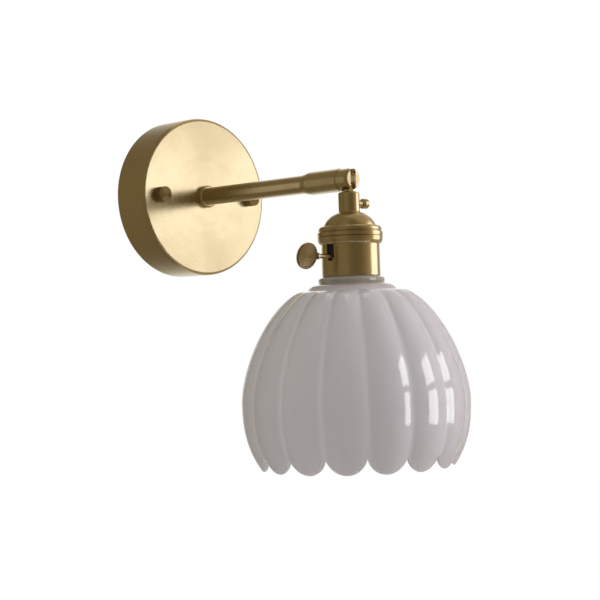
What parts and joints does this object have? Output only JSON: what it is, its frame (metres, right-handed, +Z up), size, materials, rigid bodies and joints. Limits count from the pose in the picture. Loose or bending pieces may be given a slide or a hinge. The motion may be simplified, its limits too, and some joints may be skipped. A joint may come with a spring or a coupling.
{
  "type": "glass wall lamp",
  "caption": "Wall lamp with a round canopy, a straight arm, a tilting swivel, a keyed screw lampholder and a fluted, scalloped milk-glass shade.",
  "frame": {"origin": "centre of the canopy's back face, on the wall", "axes": "+Y goes into the wall, square to it, -Y into the room, +Z up, +X to the right of someone who faces the wall"},
  "size_m": [0.1496, 0.2496, 0.2465],
  "materials": {
    "satin_brass": "satin, finely brushed, clear lacquered",
    "bright_brass": "turned, half bright",
    "zinc_steel": "zinc plated, dull silver",
    "nickel_shell": "nickel plated, thin pressed sheet",
    "milk_glass": "pressed glass, milky white, glossy, fire polished edges",
    "white_porcelain": "white glazed porcelain",
    "white_plastic": "moulded, slightly glossy",
    "dark_fibre": "pressed insulating fibre, dark brown, matt",
    "clear_silicone": "translucent silicone, matt",
    "brown_insulation": "soft wire insulation, brown",
    "blue_insulation": "soft wire insulation, blue"
  },
  "bodies": {
    "root": {"wall_bracket": "zinc_steel", "bracket_stud_left": "zinc_steel", "bracket_stud_right": "zinc_steel", "stud_nut_left": "zinc_steel", "stud_nut_right": "zinc_steel", "earth_screw": "bright_brass", "terminal_block": "white_plastic", "terminal_block_screw": "zinc_steel", "canopy": "satin_brass", "arm_nipple": "zinc_steel", "arm_washer": "zinc_steel", "arm_lock_nut": "zinc_steel", "arm_collar": "satin_brass", "arm_tube": "satin_brass", "knuckle_sleeve": "satin_brass", "pivot_screw": "bright_brass", "pivot_washer_left": "white_plastic", "pivot_washer_right": "white_plastic", "arm_lead_live": "brown_insulation", "arm_lead_neutral": "blue_insulation"},
    "left_nut": {"thumb_nut_left": "satin_brass"},
    "right_nut": {"thumb_nut_right": "satin_brass"},
    "head": {"knuckle_tongue": "satin_brass", "socket_cap": "satin_brass", "socket_shell": "satin_brass", "shell_liner": "dark_fibre", "lampholder_body": "white_porcelain", "screw_shell": "nickel_shell", "centre_contact": "bright_brass", "terminal_screw_live": "bright_brass", "terminal_screw_neutral": "bright_brass", "head_lead_live": "brown_insulation", "head_lead_neutral": "blue_insulation", "shade_gasket": "clear_silicone", "glass_shade": "milk_glass", "shade_ring": "white_plastic"},
    "lock_screw": {"neck_lock_screw": "satin_brass"},
    "key": {"switch_rotor": "white_plastic", "key_stem": "bright_brass", "key_disc": "satin_brass"}
  },
  "joints": [
    {"name": "head_tilt", "type": "hinge", "parent": "root", "child": "head", "pos_m": [0, -0.1738, 0], "axis": [-1, 0, 0], "range_deg": [-8, 87]},
    {"name": "key_turn", "type": "hinge", "parent": "head", "child": "key", "pos_m": [0, -0.17416, -0.0511], "axis": [-1, 0, 0], "continuous": true},
    {"name": "left_nut_turn", "type": "hinge", "parent": "root", "child": "left_nut", "pos_m": [-0.0421, -0.0332, 0], "axis": [0, -1, 0], "continuous": true},
    {"name": "right_nut_turn", "type": "hinge", "parent": "root", "child": "right_nut", "pos_m": [0.0421, -0.0332, 0], "axis": [0, -1, 0], "continuous": true},
    {"name": "lock_screw_turn", "type": "hinge", "parent": "head", "child": "lock_screw", "pos_m": [0, -0.17391, -0.0158], "axis": [1, 0, 0], "continuous": true}
  ]
}
